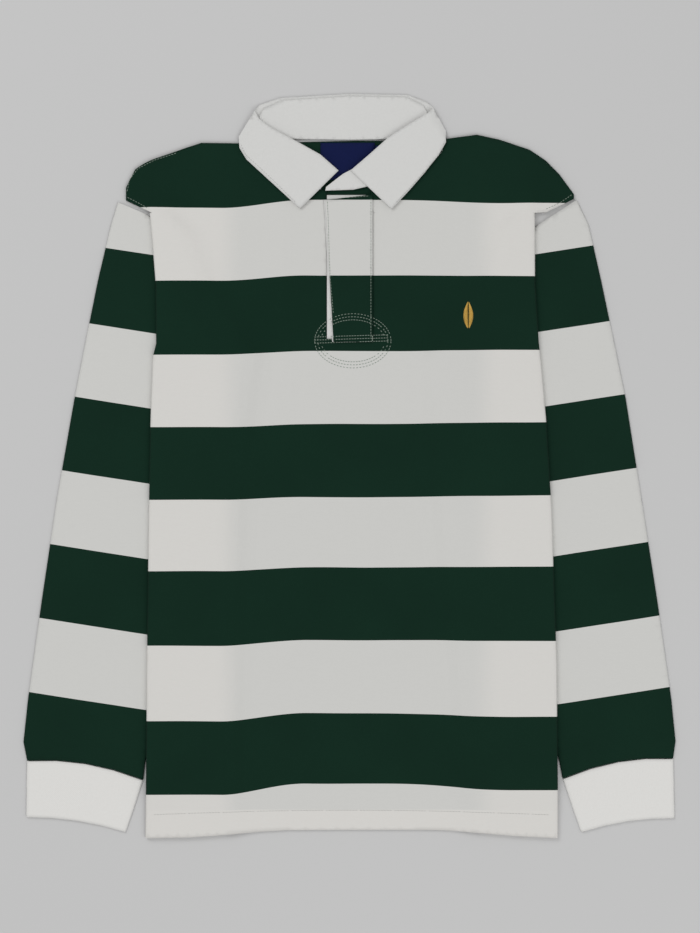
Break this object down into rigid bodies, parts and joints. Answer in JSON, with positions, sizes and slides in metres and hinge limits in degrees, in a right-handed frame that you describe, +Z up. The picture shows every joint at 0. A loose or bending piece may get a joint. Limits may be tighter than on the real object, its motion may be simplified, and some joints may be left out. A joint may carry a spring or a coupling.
{
  "type": "long-sleeved hooped rugby shirt, laid flat",
  "caption": "Long-sleeved rugby shirt in dark green and white hoops with a white twill collar and cuffs, laid flat with its sides tucked under.",
  "frame": {"origin": "centre of the shirt's outline on the surface that it lies on", "axes": "+Y towards the collar, +Z up off the surface, +X towards the wearer's left sleeve"},
  "size_m": [0.6844, 0.7809, 0.0081],
  "materials": {
    "jersey": "matt heavyweight jersey knit in dark green and off-white hoops",
    "rib": "matt off-white knit",
    "twill": "matt off-white twill",
    "label": "satin navy woven tape, plain"
  },
  "bodies": {
    "root": {"front_panel": "jersey", "back_panel": "jersey", "sleeve_left": "jersey", "sleeve_right": "jersey", "cuff_left": "rib", "cuff_right": "rib", "collar_leaf": "twill", "collar_stand": "twill", "placket_under": "twill", "placket_facing": "twill", "placket_top": "jersey", "neck_label": "label", "size_tab": "label"}
  },
  "joints": []
}
